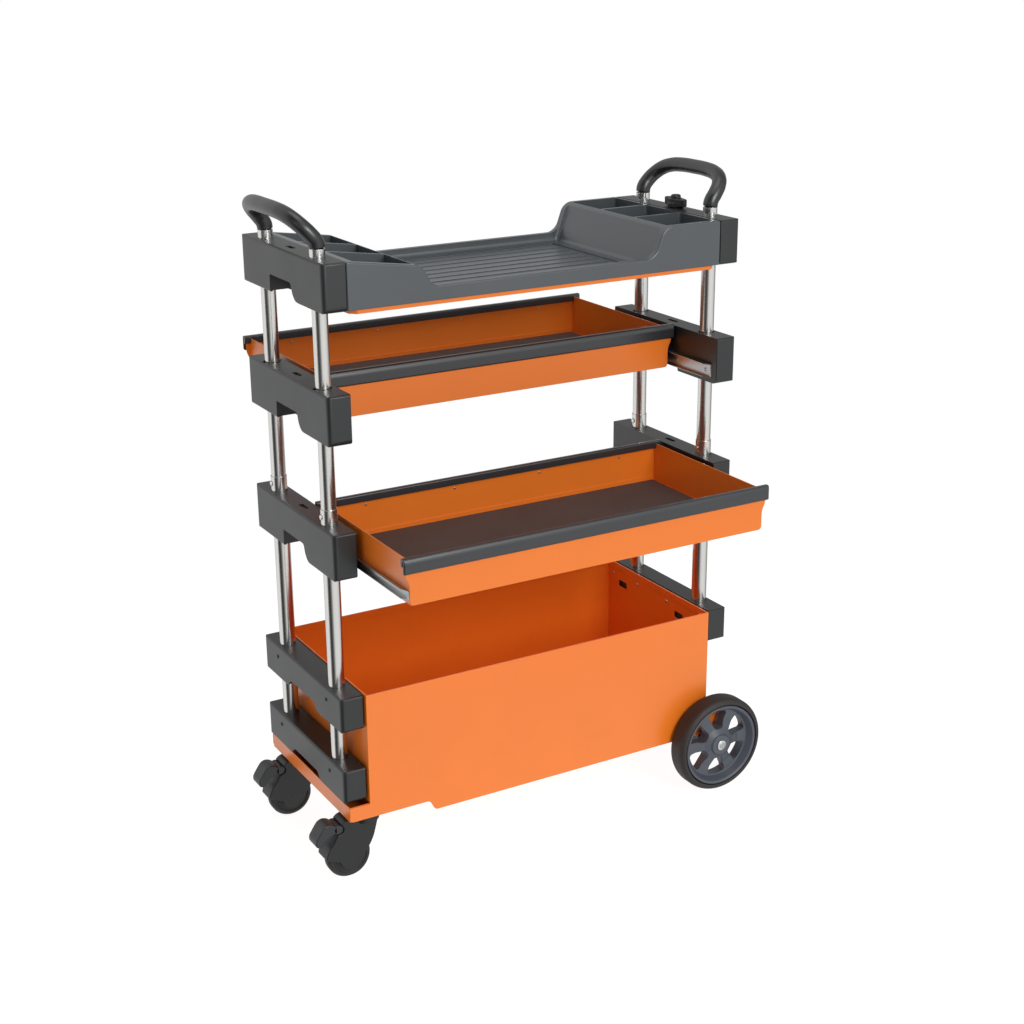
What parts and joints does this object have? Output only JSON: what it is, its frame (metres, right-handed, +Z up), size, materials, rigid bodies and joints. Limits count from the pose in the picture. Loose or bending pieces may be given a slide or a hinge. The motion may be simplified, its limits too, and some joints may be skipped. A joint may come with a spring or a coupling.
{
  "type": "rolling utility cart",
  "caption": "Collapsible tool cart with a deep bin, sliding drawers, a moulded top tray, push handles, large wheels and braked casters.",
  "frame": {"origin": "on the floor under the middle of the cart's footprint, drawers as they stand", "axes": "+X along the cart from the casters to the big wheels, -Y to the front where the lower drawer stands open, +Z up"},
  "size_m": [0.8324, 0.585, 1.0764],
  "materials": {
    "orange_powder_coat": "semi-gloss powder coat",
    "tray_plastic": "fine moulded grain",
    "bracket_plastic": "moulded, satin",
    "trim_plastic": "extruded, satin",
    "black_plastic": "moulded, satin",
    "chrome_tube": "polished chrome plate",
    "zinc_plate": "bright zinc plate",
    "grip_rubber": "soft grip, satin",
    "mat_rubber": "fine ribbed mat",
    "tyre_rubber": "solid rubber, matt",
    "hub_plastic": "moulded, satin"
  },
  "bodies": {
    "root": {"bin_shell": "orange_powder_coat", "base_pan": "orange_powder_coat", "axle_channel": "zinc_plate", "wheel_axle": "zinc_plate", "bin_bracket_upper_left": "bracket_plastic", "bin_bracket_upper_right": "bracket_plastic", "bin_bracket_lower_left": "bracket_plastic", "lower_post_front_left": "chrome_tube", "lower_post_rear_left": "chrome_tube", "lower_post_front_right": "chrome_tube", "lower_post_rear_right": "chrome_tube", "caster_plate_front": "zinc_plate", "caster_plate_rear": "zinc_plate"},
    "top": {"top_tray": "tray_plastic", "tray_pan": "orange_powder_coat", "top_block_left": "bracket_plastic", "top_block_right": "bracket_plastic", "upper_post_front_left": "chrome_tube", "upper_post_rear_left": "chrome_tube", "upper_post_front_right": "chrome_tube", "upper_post_rear_right": "chrome_tube", "handle_left": "grip_rubber", "handle_right": "grip_rubber"},
    "wing_knob": {"wing_knob": "black_plastic"},
    "shelf_1": {"shelf_1_bracket_left": "bracket_plastic", "shelf_1_bracket_right": "bracket_plastic", "shelf_1_rail_left": "zinc_plate", "shelf_1_rail_right": "zinc_plate"},
    "drawer_1": {"drawer_1_tray": "orange_powder_coat", "drawer_1_mat": "mat_rubber", "drawer_1_trim_front": "trim_plastic", "drawer_1_trim_rear": "trim_plastic", "drawer_1_slide_left": "zinc_plate", "drawer_1_slide_right": "zinc_plate"},
    "shelf_2": {"shelf_2_bracket_left": "bracket_plastic", "shelf_2_bracket_right": "bracket_plastic", "shelf_2_rail_left": "zinc_plate", "shelf_2_rail_right": "zinc_plate"},
    "drawer_2": {"drawer_2_tray": "orange_powder_coat", "drawer_2_mat": "mat_rubber", "drawer_2_trim_front": "trim_plastic", "drawer_2_trim_rear": "trim_plastic", "drawer_2_slide_left": "zinc_plate", "drawer_2_slide_right": "zinc_plate"},
    "caster_front": {"caster_fork_front": "black_plastic"},
    "caster_wheel_front": {"caster_wheel_front": "tyre_rubber"},
    "brake_pedal_front": {"brake_pedal_front": "black_plastic"},
    "wheel_front": {"wheel_hub_front": "hub_plastic", "wheel_tyre_front": "tyre_rubber"},
    "caster_rear": {"caster_fork_rear": "black_plastic"},
    "caster_wheel_rear": {"caster_wheel_rear": "tyre_rubber"},
    "brake_pedal_rear": {"brake_pedal_rear": "black_plastic"},
    "wheel_rear": {"wheel_hub_rear": "hub_plastic", "wheel_tyre_rear": "tyre_rubber"},
    "lock_button_front_left": {"lock_button_front_left": "chrome_tube"},
    "lock_button_rear_left": {"lock_button_rear_left": "chrome_tube"},
    "lock_button_front_right": {"lock_button_front_right": "chrome_tube"},
    "lock_button_rear_right": {"lock_button_rear_right": "chrome_tube"}
  },
  "joints": [
    {"name": "collapse", "type": "slide", "parent": "root", "child": "top", "axis": [0, 0, 1], "range_m": [-0.365, 0]},
    {"name": "shelf_1_lower", "type": "slide", "parent": "root", "child": "shelf_1", "axis": [0, 0, 1], "range_m": [-0.27, 0]},
    {"name": "shelf_2_lower", "type": "slide", "parent": "root", "child": "shelf_2", "axis": [0, 0, 1], "range_m": [-0.17, 0]},
    {"name": "drawer_1_slide", "type": "slide", "parent": "shelf_1", "child": "drawer_1", "axis": [0, 1, 0], "range_m": [-0.32, 0.08]},
    {"name": "drawer_2_slide", "type": "slide", "parent": "shelf_2", "child": "drawer_2", "axis": [0, 1, 0], "range_m": [-0.05, 0.35]},
    {"name": "wing_knob_turn", "type": "hinge", "parent": "top", "child": "wing_knob", "pos_m": [0.3452, 0.0145, 1], "axis": [0, 0, 1], "range_deg": [-90, 90]},
    {"name": "caster_front_swivel", "type": "hinge", "parent": "root", "child": "caster_front", "pos_m": [-0.3238, -0.1035, 0.109], "axis": [0, 0, 1], "continuous": true},
    {"name": "caster_wheel_front_spin", "type": "hinge", "parent": "caster_front", "child": "caster_wheel_front", "pos_m": [-0.3568, -0.1035, 0.0375], "axis": [0, 1, 0], "continuous": true},
    {"name": "brake_pedal_front_press", "type": "hinge", "parent": "caster_front", "child": "brake_pedal_front", "pos_m": [-0.3758, -0.1035, 0.092], "axis": [0, 1, 0], "range_deg": [-10, 0]},
    {"name": "wheel_front_spin", "type": "hinge", "parent": "root", "child": "wheel_front", "pos_m": [0.3302, -0.16385, 0.086], "axis": [0, 1, 0], "continuous": true},
    {"name": "caster_rear_swivel", "type": "hinge", "parent": "root", "child": "caster_rear", "pos_m": [-0.3238, 0.1325, 0.109], "axis": [0, 0, 1], "continuous": true},
    {"name": "caster_wheel_rear_spin", "type": "hinge", "parent": "caster_rear", "child": "caster_wheel_rear", "pos_m": [-0.3568, 0.1325, 0.0375], "axis": [0, 1, 0], "continuous": true},
    {"name": "brake_pedal_rear_press", "type": "hinge", "parent": "caster_rear", "child": "brake_pedal_rear", "pos_m": [-0.3758, 0.1325, 0.092], "axis": [0, 1, 0], "range_deg": [-10, 0]},
    {"name": "wheel_rear_spin", "type": "hinge", "parent": "root", "child": "wheel_rear", "pos_m": [0.3302, 0.19285, 0.086], "axis": [0, 1, 0], "continuous": true},
    {"name": "lock_button_front_left_press", "type": "slide", "parent": "root", "child": "lock_button_front_left", "axis": [1, 0, 0], "range_m": [0, 0.0009], "stiffness_N_per_m": 400},
    {"name": "lock_button_rear_left_press", "type": "slide", "parent": "root", "child": "lock_button_rear_left", "axis": [1, 0, 0], "range_m": [0, 0.0009], "stiffness_N_per_m": 400},
    {"name": "lock_button_front_right_press", "type": "slide", "parent": "root", "child": "lock_button_front_right", "axis": [1, 0, 0], "range_m": [0, 0.0009], "stiffness_N_per_m": 400},
    {"name": "lock_button_rear_right_press", "type": "slide", "parent": "root", "child": "lock_button_rear_right", "axis": [1, 0, 0], "range_m": [0, 0.0009], "stiffness_N_per_m": 400}
  ],
  "couplings": [
    {"joint": "shelf_1_lower", "follows": "collapse", "ratio": 0.72},
    {"joint": "shelf_2_lower", "follows": "collapse", "ratio": 0.44}
  ]
}
